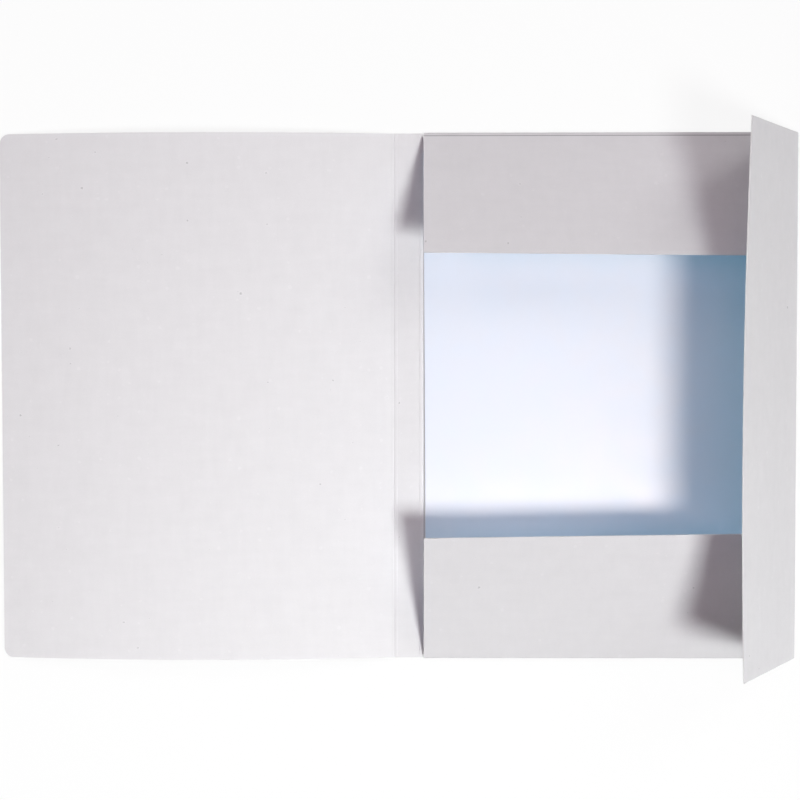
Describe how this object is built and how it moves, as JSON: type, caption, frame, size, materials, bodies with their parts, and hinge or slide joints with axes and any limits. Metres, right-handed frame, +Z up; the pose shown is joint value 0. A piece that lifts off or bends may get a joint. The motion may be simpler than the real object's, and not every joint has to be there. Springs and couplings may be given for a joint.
{
  "type": "three flap document folder",
  "caption": "Board document folder laid open: cover, spine and back joined at creases, with head, tail and side flaps part folded over a loose inner sheet.",
  "frame": {"origin": "on the table, in the middle of the back, between the spine crease and the side fold and between head and tail", "axes": "+X from the spine to the side flap, +Y from the tail to the head, +Z up from the table, with the folder lying open"},
  "size_m": [0.4848, 0.32, 0.079],
  "materials": {
    "grey_board": "solid folder board, uncoated, light grey, with faint fibre specks",
    "pale_paper": "smooth satin pale blue-white sheet"
  },
  "bodies": {
    "back": {"back_panel": "grey_board", "inner_sheet": "pale_paper"},
    "spine": {"spine": "grey_board"},
    "cover": {"front_cover": "grey_board"},
    "head_gusset": {"head_fold": "grey_board"},
    "head_flap": {"head_flap": "grey_board"},
    "tail_gusset": {"tail_fold": "grey_board"},
    "tail_flap": {"tail_flap": "grey_board"},
    "side_gusset": {"side_fold": "grey_board"},
    "side_flap": {"side_flap": "grey_board"}
  },
  "joints": [
    {"name": "spine_crease", "type": "hinge", "parent": "back", "child": "spine", "pos_m": [-0.1135, 0, 0.0006], "axis": [0, 1, 0], "range_deg": [0, 67]},
    {"name": "cover_crease", "type": "hinge", "parent": "spine", "child": "cover", "pos_m": [-0.131, 0, 0.0006], "axis": [0, 1, 0], "range_deg": [0, 113]},
    {"name": "side_inner_score", "type": "hinge", "parent": "back", "child": "side_gusset", "pos_m": [0.11115, 0, 0.0006], "axis": [0, -1, 0], "range_deg": [0, 58]},
    {"name": "head_inner_score", "type": "hinge", "parent": "back", "child": "head_gusset", "pos_m": [0, 0.15804, 0.0006], "axis": [1, 0, 0], "range_deg": [0, 26]},
    {"name": "tail_inner_score", "type": "hinge", "parent": "back", "child": "tail_gusset", "pos_m": [0, -0.15804, 0.0006], "axis": [-1, 0, 0], "range_deg": [0, 24]},
    {"name": "side_outer_score", "type": "hinge", "parent": "side_gusset", "child": "side_flap", "pos_m": [0.1135, 0, 0.0011], "axis": [0, 1, 0], "range_deg": [0, 119]},
    {"name": "head_outer_score", "type": "hinge", "parent": "head_gusset", "child": "head_flap", "pos_m": [0, 0.16, 0.00102], "axis": [-1, 0, 0], "range_deg": [0, 154]},
    {"name": "tail_outer_score", "type": "hinge", "parent": "tail_gusset", "child": "tail_flap", "pos_m": [0, -0.16, 0.00102], "axis": [1, 0, 0], "range_deg": [0, 156]}
  ],
  "couplings": [
    {"joint": "cover_crease", "follows": "spine_crease", "ratio": 1.6866},
    {"joint": "side_inner_score", "follows": "spine_crease", "ratio": 0.86567},
    {"joint": "head_inner_score", "follows": "spine_crease", "ratio": 0.38806},
    {"joint": "tail_inner_score", "follows": "spine_crease", "ratio": 0.35821},
    {"joint": "head_outer_score", "follows": "side_outer_score", "ratio": 1.2941},
    {"joint": "tail_outer_score", "follows": "side_outer_score", "ratio": 1.3109}
  ]
}
